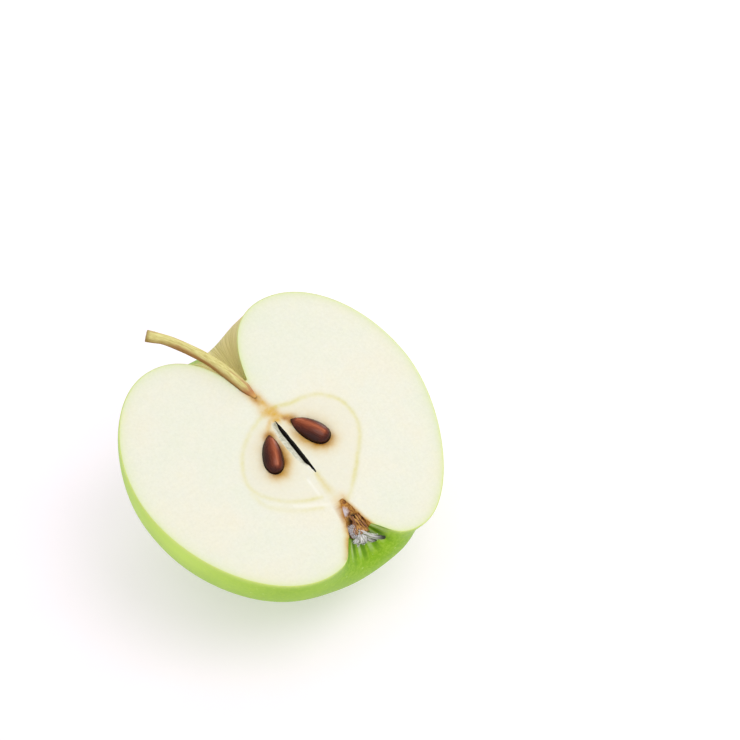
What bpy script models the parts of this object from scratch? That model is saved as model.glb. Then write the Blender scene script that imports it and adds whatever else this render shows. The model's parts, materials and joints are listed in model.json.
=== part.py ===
"""Half of a green apple, cut lengthwise through the core, with its stalk, two seeds and the dried calyx.

Metres. The half is modelled lying in its own axes: x points to the right-hand lobe, y along the core to the
stalk, and z out of the cut face, which is the plane z = 0. The empty "seat" then leans it onto its skin,
so that it rests on a small flat spot with the calyx end lowest. The origin is the centre of that spot.
"""

import math
from collections import namedtuple

import bmesh
import bpy
from mathutils import Matrix, Vector
from mathutils.geometry import interpolate_bezier

# Driving dimensions of the fruit, for an apple 70 mm across
Lobe = namedtuple("Lobe", "crest_radius crest_height belly_radius belly_height base_radius base_height "
                          "shoulder_pull flank_pull")
RIGHT_LOBE = Lobe(0.0154, 0.0319, 0.0348, 0.0047, 0.0121, -0.0302, 0.56, 0.43)
LEFT_LOBE = Lobe(0.0153, 0.0305, 0.0352, 0.0037, 0.0111, -0.0290, 0.51, 0.51)
CAVITY_FLOOR = 0.0176
CAVITY_THROAT = 0.0014
BASIN_FLOOR = -0.0238
BASIN_THROAT = 0.0028
TURN_STEPS = 50

# Ribs round the fruit, a higher crest at the back, and a fold in the base just behind the right lobe's cut
RIB_COUNT = 5
BASE_RIB_SHARE = 0.028
BASE_RIB_START = 0.29
CREST_RIB_RISE = 0.0007
CREST_BACK_RISE = 0.0013
FOLD_TURN = 0.25
FOLD_SPREAD = 0.33
FOLD_SHARE = 0.27
FOLD_RISE = 0.0022

# How the half lies
LEAN = math.radians(17)
SPOT_DEPTH = 0.0004

# Core
CORE_X = 0.0005
SLIT_TOP = 0.0067
SLIT_END = -0.0082
SLIT_WIDTH = 0.0010
SLIT_DEPTH = 0.0036
SLIT_FLOOR_WIDTH_SHARE = 0.5
SLIT_FLOOR_LENGTH_SHARE = 0.85
SEED_LENGTH = 0.0092
SEED_THICKNESS = 0.0033
SEED_WIDEST_SHARE = 0.64
SEED_SINK = 0.0002
Seed = namedtuple("Seed", "tip_x tip_y spread width")
SEEDS = {
    "seed_left": Seed(-0.0026, 0.0044, math.radians(-28), 0.0044),
    "seed_right": Seed(0.0038, 0.0047, math.radians(29), 0.0048),
}
CLEARANCE = 0.0003
CUTTER_OVERHANG = 0.0006

# Stalk
STALK_PATH = [
    (0.0016, 0.0095, -0.0006), (0.0011, 0.0114, -0.0004), (0.0005, 0.0130, -0.0002),
    (-0.0004, 0.0172, 0.0000), (-0.0015, 0.0216, 0.0002), (-0.0028, 0.0256, 0.0003),
    (-0.0048, 0.0297, 0.0004), (-0.0076, 0.0341, 0.0006), (-0.0110, 0.0375, 0.0009),
]
STALK_RADII = [0.0006, 0.0010, 0.0012, 0.0013, 0.0013, 0.00125, 0.00125, 0.0012, 0.0014]
STALK_SIDES = 14

# Calyx, in the tube that runs up from the basin
TUBE_TIP = Vector((0.0012, -0.0160, 0))
TUBE_MOUTH = Vector((0.0001, -0.0246, 0))
TUBE_RADIUS = 0.0031
TUBE_OVERHANG = 0.0030
TUBE_STATIONS = [0, 0.35, 0.7, 0.93, 1]
TUBE_RADIUS_SHARES = [1.05, 1.0, 0.66, 0.36, 0.16, 0.05]
TUBE_SIDES = 28
SEPAL_TIPS = [
    (-0.0033, -0.0259, -0.0007), (-0.0018, -0.0263, -0.0030), (0.0006, -0.0266, -0.0038),
    (0.0029, -0.0272, -0.0032), (0.0042, -0.0280, -0.0012),
]
PLUG_RADII = [0.0022, 0.0021, 0.0016, 0.0010]
PLUG_DEPTHS = [0.00085, 0.00085, 0.00075, 0.0005]
PLUG_BEHIND = 0.00145
SEPAL_WIDTHS = [0.0007, 0.0011, 0.0010, 0.0007, 0.0002]
SEPAL_THICKNESSES = [0.0003, 0.00026, 0.00022, 0.0002, 0.00012]
STAMEN_COUNT = 7
STAMEN_RADII = [0.0003, 0.00028, 0.0002]

# Material colours, linear
CREAM = (0.88, 0.87, 0.72)
BROWN_SEED = (0.12, 0.035, 0.018)
OLIVE_WOOD = (0.42, 0.36, 0.12)
GREY_SEPAL = (0.33, 0.30, 0.22)


def clear_scene():
    for item in list(bpy.data.objects):
        bpy.data.objects.remove(item)


def make_material(name, colour, roughness):
    material = bpy.data.materials.new(name)
    material.use_nodes = True
    shader = material.node_tree.nodes["Principled BSDF"]
    shader.inputs["Base Color"].default_value = (*colour, 1)
    shader.inputs["Roughness"].default_value = roughness
    shader.inputs["Metallic"].default_value = 0
    return material


def make_object(name, shape, material=None):
    """An object in the apple's own axes, from a bmesh that is then freed."""
    bmesh.ops.recalc_face_normals(shape, faces=shape.faces)
    mesh = bpy.data.meshes.new(name)
    shape.to_mesh(mesh)
    shape.free()
    mesh.shade_smooth()
    mesh.set_sharp_from_angle(angle=math.radians(40))
    if material:
        mesh.materials.append(material)
    item = bpy.data.objects.new(name, mesh)
    bpy.context.collection.objects.link(item)
    return item


def hide_helper(item):
    item.hide_render = True
    item.display_type = "WIRE"


def carve(item, cutter, label):
    hide_helper(cutter)
    cut = item.modifiers.new(label, "BOOLEAN")
    cut.operation = "DIFFERENCE"
    cut.solver = "EXACT"
    cut.object = cutter


def lobe_profile(lobe):
    """Points (radius, height) down one side of the fruit, from the stalk cavity to the calyx basin."""
    rise = lobe.crest_height - CAVITY_FLOOR
    fall = BASIN_FLOOR - lobe.base_height
    shoulder_width = lobe.belly_radius - lobe.crest_radius
    shoulder_rise = lobe.crest_height - lobe.belly_height
    flank_width = lobe.belly_radius - lobe.base_radius
    flank_fall = lobe.belly_height - lobe.base_height
    throat = (CAVITY_THROAT, CAVITY_FLOOR)
    crest = (lobe.crest_radius, lobe.crest_height)
    belly = (lobe.belly_radius, lobe.belly_height)
    base = (lobe.base_radius, lobe.base_height)
    spans = [
        (throat, (CAVITY_THROAT + 0.12 * lobe.crest_radius, CAVITY_FLOOR + 0.45 * rise),
         (0.45 * lobe.crest_radius, lobe.crest_height), crest, 9),
        (crest, (lobe.crest_radius + lobe.shoulder_pull * shoulder_width, lobe.crest_height),
         (lobe.belly_radius, lobe.belly_height + lobe.shoulder_pull * shoulder_rise), belly, 11),
        (belly, (lobe.belly_radius, lobe.belly_height - lobe.flank_pull * flank_fall),
         (lobe.base_radius + lobe.flank_pull * flank_width, lobe.base_height), base, 13),
        (base, (0.5 * lobe.base_radius, lobe.base_height),
         (BASIN_THROAT + 0.25 * lobe.base_radius, BASIN_FLOOR - 0.5 * fall), (BASIN_THROAT, BASIN_FLOOR), 7),
    ]
    points = [Vector((0, CAVITY_FLOOR))]
    for start, lead, trail, end, count in spans:
        corners = [Vector((*corner, 0)) for corner in (start, lead, trail, end)]
        points += [point.to_2d() for point in interpolate_bezier(*corners, count)[:-1]]
    return points + [Vector((BASIN_THROAT, BASIN_FLOOR)), Vector((0, BASIN_FLOOR))]


def fruit_point(right, left, turn):
    """A point of the skin at the angle turn behind the cut face, between the right and left outlines."""
    blend = (1 - math.cos(turn)) / 2
    radius, height = right.lerp(left, blend)
    belly = (RIGHT_LOBE.belly_height + LEFT_LOBE.belly_height) / 2
    low = max(0.0, (belly - height) / (belly - RIGHT_LOBE.base_height)) ** 2
    high = max(0.0, (height - belly) / (RIGHT_LOBE.crest_height - belly)) ** 2
    outer = min(1.0, radius / RIGHT_LOBE.base_radius)
    behind = math.sin(turn)
    fold = behind * math.exp(-((turn - FOLD_TURN) / FOLD_SPREAD) ** 2)
    base_ribs = behind * math.cos(RIB_COUNT * (turn - BASE_RIB_START))
    crest_ribs = (math.cos(turn) - math.cos(RIB_COUNT * turn)) / 2
    radius *= 1 + low * (BASE_RIB_SHARE * base_ribs - FOLD_SHARE * fold)
    height += outer * high * (CREST_RIB_RISE * crest_ribs + CREST_BACK_RISE * behind)
    height += outer * low * FOLD_RISE * fold
    return Vector((radius * math.cos(turn), height, -radius * behind))


def half_fruit():
    """The half turned from its right outline to its left one, with the cut face filled in."""
    right, left = lobe_profile(RIGHT_LOBE), lobe_profile(LEFT_LOBE)
    shape = bmesh.new()
    place = shape.verts.layers.int.new("place")
    corners = [shape.verts.new((radius, height, 0)) for radius, height in right]
    for number, corner in enumerate(corners):
        corner[place] = number
    edges = [shape.edges.new(pair) for pair in zip(corners, corners[1:])]
    bmesh.ops.spin(shape, geom=corners + edges, cent=(0, 0, 0), axis=(0, 1, 0), angle=math.pi,
                   steps=TURN_STEPS)
    for corner in shape.verts:
        number = corner[place]
        if right[number].x > 0:
            turn = abs(math.atan2(corner.co.z, corner.co.x))
            corner.co = fruit_point(right[number], left[number], turn)
    bmesh.ops.remove_doubles(shape, verts=shape.verts, dist=1e-6)
    rim = [edge for edge in shape.edges if edge.is_boundary]
    bmesh.ops.contextual_create(shape, geom=rim)
    return shape


def flatten_spot(shape, lean):
    """Cuts the spot that the half rests on, and returns where the spot's centre is once the half leans."""
    floor = min((lean @ corner.co).z for corner in shape.verts) + SPOT_DEPTH
    down = lean.inverted() @ Vector((0, 0, -1))
    everything = list(shape.verts) + list(shape.edges) + list(shape.faces)
    cut = bmesh.ops.bisect_plane(shape, geom=everything, plane_co=-floor * down, plane_no=down,
                                 clear_outer=True)
    ring = [piece for piece in cut["geom_cut"] if isinstance(piece, bmesh.types.BMEdge)]
    bmesh.ops.contextual_create(shape, geom=ring)
    around = {corner for edge in ring for corner in edge.verts}
    leaned = [lean @ corner.co for corner in around]
    sides = [[point[axis] for point in leaned] for axis in (0, 1)]
    return Vector((*[(min(side) + max(side)) / 2 for side in sides], floor))


def seed_shape(width, grow=0.0):
    """A seed with its tip at the origin and its body along -y, grown all round by the given amount."""
    half = width / 2 + grow
    tip, end, widest = grow, -SEED_LENGTH - grow, -SEED_WIDEST_SHARE * SEED_LENGTH
    shoulder = [Vector(p) for p in ((0, tip, 0), (0.30 * half, 0.55 * tip, 0),
                                    (half, widest + 0.46 * SEED_LENGTH, 0), (half, widest, 0))]
    heel = [Vector(p) for p in ((half, widest, 0), (half, widest - 0.26 * SEED_LENGTH, 0),
                                (0.5 * half, end, 0), (0, end, 0))]
    shape = bmesh.new()
    line = interpolate_bezier(*shoulder, 10)[:-1] + interpolate_bezier(*heel, 8)
    corners = [shape.verts.new(point) for point in line]
    edges = [shape.edges.new(pair) for pair in zip(corners, corners[1:])]
    bmesh.ops.spin(shape, geom=corners + edges, cent=(0, 0, 0), axis=(0, 1, 0), angle=2 * math.pi, steps=20,
                   use_merge=True)
    bmesh.ops.remove_doubles(shape, verts=shape.verts, dist=1e-6)
    flatten = (SEED_THICKNESS / 2 + grow) / half
    bmesh.ops.scale(shape, vec=(1, 1, flatten), verts=shape.verts)
    return shape


def place_seed(item, seed):
    """Sets a seed in the core, tip towards the stalk and body spread away from the slit."""
    item.location = (seed.tip_x, seed.tip_y, -SEED_SINK)
    item.rotation_euler.z = seed.spread


def slit_shape():
    """A thin leaf-shaped blade, which opens the empty seed chamber between the two seeds."""
    middle, half = (SLIT_TOP + SLIT_END) / 2, (SLIT_TOP - SLIT_END) / 2
    shape = bmesh.new()
    bmesh.ops.create_circle(shape, cap_ends=True, segments=32, radius=half)
    for corner in shape.verts:
        corner.co.x *= SLIT_WIDTH / 2 / half
    grown = bmesh.ops.extrude_face_region(shape, geom=list(shape.faces))
    bottom = [piece for piece in grown["geom"] if isinstance(piece, bmesh.types.BMVert)]
    bmesh.ops.scale(shape, vec=(SLIT_FLOOR_WIDTH_SHARE, SLIT_FLOOR_LENGTH_SHARE, 1), verts=bottom)
    bmesh.ops.translate(shape, vec=(0, 0, -SLIT_DEPTH - CUTTER_OVERHANG), verts=bottom)
    bmesh.ops.translate(shape, vec=(CORE_X, middle, CUTTER_OVERHANG), verts=shape.verts)
    return shape


def smooth_path(points, steps):
    """Points on a smooth curve through the given ones."""
    corners = [Vector(point) for point in points]
    count = len(corners) - 1
    slopes = [corners[min(i + 1, count)] - corners[max(i - 1, 0)] for i in range(count + 1)]
    line = []
    for step in range(steps + 1):
        share = step / steps * count
        i = min(int(share), count - 1)
        pull = slopes[i] / 6 if 0 < i else slopes[i] / 3
        push = slopes[i + 1] / 6 if i + 1 < count else slopes[i + 1] / 3
        a, b, c, d = corners[i], corners[i] + pull, corners[i + 1] - push, corners[i + 1]
        t = share - i
        line.append(a * (1 - t) ** 3 + b * 3 * t * (1 - t) ** 2 + c * 3 * t * t * (1 - t) + d * t ** 3)
    return line


def between(values, share):
    """The value at a share of the way along an evenly spaced list."""
    place = share * (len(values) - 1)
    i = min(int(place), len(values) - 2)
    return values[i] + (values[i + 1] - values[i]) * (place - i)


def sweep(shape, line, widths, depths, sides, aside):
    """Adds a closed rod along a line of points. Its section is an oval with its widths along aside."""
    rings = []
    for number, point in enumerate(line):
        along = (line[min(number + 1, len(line) - 1)] - line[max(number - 1, 0)]).normalized()
        across = (aside - along * aside.dot(along)).normalized()
        up = across.cross(along)
        share = number / (len(line) - 1)
        wide, deep = between(widths, share), between(depths, share)
        angles = [2 * math.pi * side / sides for side in range(sides)]
        rings.append([shape.verts.new(point + across * wide * math.cos(a) + up * deep * math.sin(a))
                      for a in angles])
    for ring, after in zip(rings, rings[1:]):
        for side in range(sides):
            ahead = (side + 1) % sides
            shape.faces.new((ring[side], ring[ahead], after[ahead], after[side]))
    shape.faces.new(rings[0])
    shape.faces.new(rings[-1])


def stalk_shape(grow=0.0):
    shape = bmesh.new()
    radii = [radius + grow for radius in STALK_RADII]
    line = smooth_path(STALK_PATH, 26)
    if grow:
        line[0] -= (line[1] - line[0]).normalized() * grow
    sweep(shape, line, radii, radii, STALK_SIDES, Vector((1, 0, 0)))
    return shape


def tube_frame():
    """Axes of the calyx tube: its first axis runs from the mouth up to the tip."""
    up = (TUBE_TIP - TUBE_MOUTH).normalized()
    side = up.cross(Vector((0, 0, 1))).normalized()
    return up, side, Vector((0, 0, 1))


def tube_shape():
    """The hollow that the cut opens above the basin: a narrow cone that ends in a point."""
    up, side, out = tube_frame()
    length = (TUBE_TIP - TUBE_MOUTH).length
    line = [TUBE_MOUTH - up * TUBE_OVERHANG] + [TUBE_MOUTH + up * length * share for share in TUBE_STATIONS]
    radii = [TUBE_RADIUS * share for share in TUBE_RADIUS_SHARES]
    shape = bmesh.new()
    sweep(shape, line, radii, radii, TUBE_SIDES, side)
    return shape


def plug_shape():
    """The dry plug in the mouth of the tube that carries the sepals and what is left of the stamens."""
    up, side, out = tube_frame()
    line = [TUBE_MOUTH + up * height - out * PLUG_BEHIND for height in (0.0002, 0.0010, 0.0018, 0.0026)]
    shape = bmesh.new()
    sweep(shape, line, PLUG_RADII, PLUG_DEPTHS, 16, side)
    return shape


def sepal_shape(tip):
    """One dried sepal: it leaves the plug, spreads over the basin floor and bends down at its tip."""
    up, side, out = tube_frame()
    base = TUBE_MOUTH + up * 0.0009 - out * PLUG_BEHIND
    tip = Vector(tip)
    away = (tip - base - up * (tip - base).dot(up)).normalized()
    line = smooth_path([base, base.lerp(tip, 0.4) - up * 0.0005, base.lerp(tip, 0.75) - up * 0.00035, tip,
                        tip + away * 0.0001 - up * 0.0006], 9)
    shape = bmesh.new()
    sweep(shape, line, SEPAL_WIDTHS, SEPAL_THICKNESSES, 8, away.cross(up))
    return shape


def stamen_shape(number):
    """A stub of a dried stamen, which points up the tube or leans out of the mouth."""
    up, side, out = tube_frame()
    share = number / (STAMEN_COUNT - 1)
    foot = TUBE_MOUTH + up * 0.0012 + side * (0.0026 * share - 0.0010) - out * 0.0013
    reach = (0.0030 + 0.0008 * math.cos(2.7 * number)) * (1.15 - abs(share - 0.5))
    tip = TUBE_MOUTH + up * (0.0012 + reach) + side * (0.0013 * share - 0.0005)
    tip -= out * (0.0004 + 0.0002 * (number % 3))
    line = smooth_path([foot, foot.lerp(tip, 0.5) + side * 0.0002 * math.cos(3 * number), tip], 5)
    shape = bmesh.new()
    sweep(shape, line, STAMEN_RADII, STAMEN_RADII, 7, side)
    return shape


def make_calyx(material):
    """Plug, sepals and stamens as one solid."""
    calyx = make_object("calyx", plug_shape(), material)
    pieces = [sepal_shape(tip) for tip in SEPAL_TIPS]
    pieces += [stamen_shape(number) for number in range(STAMEN_COUNT)]
    bits = bpy.data.collections.new("calyx_bits")
    bpy.context.scene.collection.children.link(bits)
    for number, piece in enumerate(pieces):
        bit = make_object(f"bit_{number}", piece)
        bpy.context.collection.objects.unlink(bit)
        bits.objects.link(bit)
    join = calyx.modifiers.new("join", "BOOLEAN")
    join.operation = "UNION"
    join.solver = "EXACT"
    join.operand_type = "COLLECTION"
    join.collection = bits
    with bpy.context.temp_override(object=calyx, active_object=calyx, selected_objects=[calyx]):
        bpy.ops.object.modifier_apply(modifier="join")
    for bit in list(bits.objects):
        bpy.data.objects.remove(bit)
    bpy.data.collections.remove(bits)
    return calyx


def main():
    clear_scene()
    lean = Matrix.Rotation(LEAN, 3, "X")
    body = half_fruit()
    spot = flatten_spot(body, lean)
    fruit = make_object("apple_half", body, make_material("apple flesh", CREAM, 0.5))
    seat = bpy.data.objects.new("seat", None)
    bpy.context.collection.objects.link(seat)

    seed_brown = make_material("seed coat", BROWN_SEED, 0.3)
    parts = [fruit]
    for name, size in SEEDS.items():
        seed = make_object(name, seed_shape(size.width), seed_brown)
        pocket = make_object(name + "_pocket", seed_shape(size.width, CLEARANCE))
        for item in (seed, pocket):
            place_seed(item, size)
            parts.append(item)
        carve(fruit, pocket, name)

    slit = make_object("slit", slit_shape())
    tube = make_object("calyx_tube", tube_shape())
    groove = make_object("stalk_groove", stalk_shape(CLEARANCE))
    for cutter in (slit, tube, groove):
        carve(fruit, cutter, cutter.name)
        parts.append(cutter)

    parts.append(make_object("stalk", stalk_shape(), make_material("stalk", OLIVE_WOOD, 0.6)))
    parts.append(make_calyx(make_material("dry calyx", GREY_SEPAL, 0.8)))
    for part in parts:
        part.parent = seat
    seat.rotation_euler.x = LEAN
    seat.location = -spot


main()
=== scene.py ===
"""Half of a green apple, cut lengthwise through the core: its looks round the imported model.

Metres. The fine pieces are modelled in the fruit's own axes, as the solids are: x to the right-hand lobe,
y along the core to the stalk and z out of the cut face, which is the plane z = 0. A matrix then leans them
onto the skin.
"""

import json
import math
import random
from collections import namedtuple

import bmesh
import bpy
import numpy as np
from mathutils import Matrix, Vector, kdtree, noise
from mathutils.geometry import interpolate_bezier

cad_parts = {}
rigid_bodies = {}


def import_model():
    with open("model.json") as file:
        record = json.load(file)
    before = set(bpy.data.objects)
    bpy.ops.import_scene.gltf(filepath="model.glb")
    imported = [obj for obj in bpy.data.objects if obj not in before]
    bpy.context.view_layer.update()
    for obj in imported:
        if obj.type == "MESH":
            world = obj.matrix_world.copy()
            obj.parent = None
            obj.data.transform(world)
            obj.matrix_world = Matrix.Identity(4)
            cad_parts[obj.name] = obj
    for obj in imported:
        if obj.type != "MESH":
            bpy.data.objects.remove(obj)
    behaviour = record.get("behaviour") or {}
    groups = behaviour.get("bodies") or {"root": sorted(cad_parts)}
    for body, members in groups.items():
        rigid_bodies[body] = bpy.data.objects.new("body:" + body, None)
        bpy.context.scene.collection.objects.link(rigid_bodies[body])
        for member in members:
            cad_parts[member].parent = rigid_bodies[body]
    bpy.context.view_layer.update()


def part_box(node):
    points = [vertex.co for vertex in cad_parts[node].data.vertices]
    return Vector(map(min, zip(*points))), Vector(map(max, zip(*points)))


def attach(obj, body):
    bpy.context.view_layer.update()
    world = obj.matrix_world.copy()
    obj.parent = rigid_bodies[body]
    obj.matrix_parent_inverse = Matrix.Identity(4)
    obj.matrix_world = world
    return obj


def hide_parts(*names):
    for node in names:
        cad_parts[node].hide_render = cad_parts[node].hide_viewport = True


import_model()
dice = random.Random(11)
noise.seed_set(11)

# Outlines of the two lobes, as in the solids
Lobe = namedtuple("Lobe", "crest_radius crest_height belly_radius belly_height base_radius base_height "
                          "shoulder_pull flank_pull")
RIGHT_LOBE = Lobe(0.0154, 0.0319, 0.0348, 0.0047, 0.0121, -0.0302, 0.56, 0.43)
LEFT_LOBE = Lobe(0.0153, 0.0305, 0.0352, 0.0037, 0.0111, -0.0290, 0.51, 0.51)
CAVITY_FLOOR = 0.0176
CAVITY_THROAT = 0.0014
BASIN_FLOOR = -0.0238
BASIN_THROAT = 0.0028
LEAN = math.radians(17)

# Ribs, crest and fold, as in the solids
RIB_COUNT = 5
BASE_RIB_SHARE = 0.028
BASE_RIB_START = 0.29
CREST_RIB_RISE = 0.0007
CREST_BACK_RISE = 0.0013
FOLD_TURN = 0.25
FOLD_SPREAD = 0.33
FOLD_SHARE = 0.27
FOLD_RISE = 0.0022

# How finely the half is drawn
PROFILE_STEPS = (56, 60, 66, 56)
TURN_STEPS = 120
POLE = Vector((0.0005, -0.0020, 0))
RIM_DROP = 0.00012
UNDULATION = 0.00016

# Core
CORE_X = 0.0005
SLIT_TOP = 0.0067
SLIT_END = -0.0082
SLIT_WIDTH = 0.0008
SLIT_DEPTH = 0.0036
LEDGE_WIDTH = 0.0017
LEDGE_DEPTH = 0.0009
SEED_LENGTH = 0.0092
SEED_THICKNESS = 0.0033
SEED_WIDEST_SHARE = 0.64
SEED_SINK = 0.0002
Seed = namedtuple("Seed", "tip_x tip_y spread width")
SEEDS = {
    "seed_left": Seed(-0.0026, 0.0044, math.radians(-28), 0.0044),
    "seed_right": Seed(0.0036, 0.0049, math.radians(27.5), 0.0049),
}
POCKET_GAP = 0.00009
GROOVE_GAP = 0.00003
OVERHANG = 0.0006

# Stalk
STALK_PATH = [
    (0.0016, 0.0095, -0.0006), (0.0011, 0.0114, -0.0004), (0.0005, 0.0130, -0.0002),
    (-0.0004, 0.0172, 0.0000), (-0.0015, 0.0216, 0.0002), (-0.0028, 0.0256, 0.0003),
    (-0.0048, 0.0297, 0.0004), (-0.0076, 0.0341, 0.0006), (-0.0110, 0.0375, 0.0009),
]
# Steps of the path, and the one where the wood leaves the flesh and starts to show
STALK_STEPS = 220
STALK_START = 56
STALK_WOOD_RADII = [0.0003, 0.00122, 0.0013, 0.0013, 0.00125, 0.00125, 0.0012, 0.00115, 0.0014]

# Calyx and its tube
TUBE_TIP = Vector((0.0012, -0.0160, 0))
TUBE_MOUTH = Vector((0.0001, -0.0246, 0))
TUBE_RADIUS = 0.0031
TUBE_OVERHANG = 0.0030
TUBE_STATIONS = [0, 0.35, 0.7, 0.93, 1]
TUBE_RADIUS_SHARES = [1.05, 1.0, 0.66, 0.36, 0.16, 0.05]
SEPAL_TIPS = [
    (-0.0033, -0.0259, -0.0007), (-0.0018, -0.0263, -0.0030), (0.0006, -0.0266, -0.0038),
    (0.0029, -0.0272, -0.0032), (0.0042, -0.0280, -0.0012),
]
SEPAL_SHORTENING = [0.3, 0.3, 0.25, 0.12, 0.05]
SEPAL_DARKNESS = [0.1, 0.15, 0.45, 0.7, 1.0]
SEPAL_HALF_WIDTHS = [0.0007, 0.0011, 0.0009, 0.0005, 0.0001]
SEPAL_THICKNESS = 0.00022
PLUG_RADII = [0.0022, 0.0021, 0.0016, 0.0010]
PLUG_DEPTHS = [0.00085, 0.00085, 0.00075, 0.0005]
PLUG_BEHIND = 0.00145
STAMEN_COUNT = 15
STAMEN_RADII = [0.00022, 0.0002, 0.00016, 0.0002, 0.0003, 0.0001]
FUZZ_COUNT = 1000
FUZZ_BATCH = 50
FUZZ_RADIUS = 0.000035

# Where the pale patch of painted light on the left flank is palest, and how far that reaches along each axis
PAINTED_LIGHT_MIDDLE = (-0.034, -0.003, 0.0)
PAINTED_LIGHT_REACH = (0.014, 0.021, 0.012)

# Lines that show on the cut face, in millimetres on its plane
CORE_LINE_RIGHT = [(1.2, 9.0), (3.0, 9.0), (5.9, 8.1), (8.8, 7.8), (12.2, 6.6), (15.1, 3.6), (16.0, -0.3),
                   (14.6, -5.1), (9.7, -10.5), (4.4, -15.3), (1.6, -17.1)]
CORE_LINE_LEFT = [(0.0, 9.2), (-3.2, 8.1), (-6.8, 6.4), (-10.6, 3.3), (-13.4, -1.6), (-13.0, -5.5),
                  (-9.6, -9.6), (-5.8, -12.0), (-2.2, -13.3)]
OUTER_LINE_LEFT = [(-14.0, -4.8), (-13.2, -8.8), (-8.6, -13.0), (-3.4, -15.4)]
BASE_VEIN = [(0.5, -8.4), (0.2, -10.2), (0.5, -13.0), (1.2, -16.2)]
WHITE_VEIN = [(-2.1, -8.6), (-2.1, -10.6), (-2.2, -12.7)]
WHITE_BAND = [(-8.2, -11.9), (-5.1, -13.8), (-2.2, -15.4)]
STALK_TISSUE = [(0.0, 15.4), (0.3, 12.4), (0.4, 10.6), (0.7, 9.1), (1.2, 7.8), (0.9, 6.8)]
STALK_STAIN = [(0.0, 15.2), (0.2, 13.2), (0.1, 11.4)]
TIP_STAIN = [(4.3, 4.3), (3.4, 5.2), (2.7, 5.9)]
RIGHT_TISSUE = [(0.9, 8.2), (2.3, 6.7), (3.8, 5.3)]
LEFT_TISSUE = [(0.5, 7.8), (-1.3, 6.2), (-2.5, 4.9)]


def linear(code):
    """A linear colour from an sRGB hex code."""
    parts = [int(code[start:start + 2], 16) / 255 for start in (1, 3, 5)]
    return (*[part / 12.92 if part <= 0.04045 else ((part + 0.055) / 1.055) ** 2.4 for part in parts], 1)


def feed(tree, item, inputs):
    """Links a node's inputs to sockets or sets them to values. Hex codes become linear colours."""
    for key, value in inputs.items():
        if isinstance(value, bpy.types.NodeSocket):
            tree.links.new(value, item.inputs[key])
        else:
            item.inputs[key].default_value = linear(value) if isinstance(value, str) else value


def add(tree, kind, inputs=None, out=0, stops=None, **settings):
    """Adds a shader node with its settings and links, for one of its outputs. Stops fill a colour ramp."""
    item = tree.nodes.new("ShaderNode" + kind)
    for name, value in settings.items():
        setattr(item, name, value)
    feed(tree, item, inputs or {})
    if stops:
        ramp = item.color_ramp.elements
        while len(ramp) < len(stops):
            ramp.new(0.5)
        for element, (place, code) in zip(ramp, stops):
            element.position = place
            element.color = linear(code)
    return item.outputs[out]


def begin_material(name):
    """A new material, its tree of nodes and its shader."""
    material = bpy.data.materials.new(name)
    material.use_nodes = True
    return material, material.node_tree, material.node_tree.nodes["Principled BSDF"]


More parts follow.
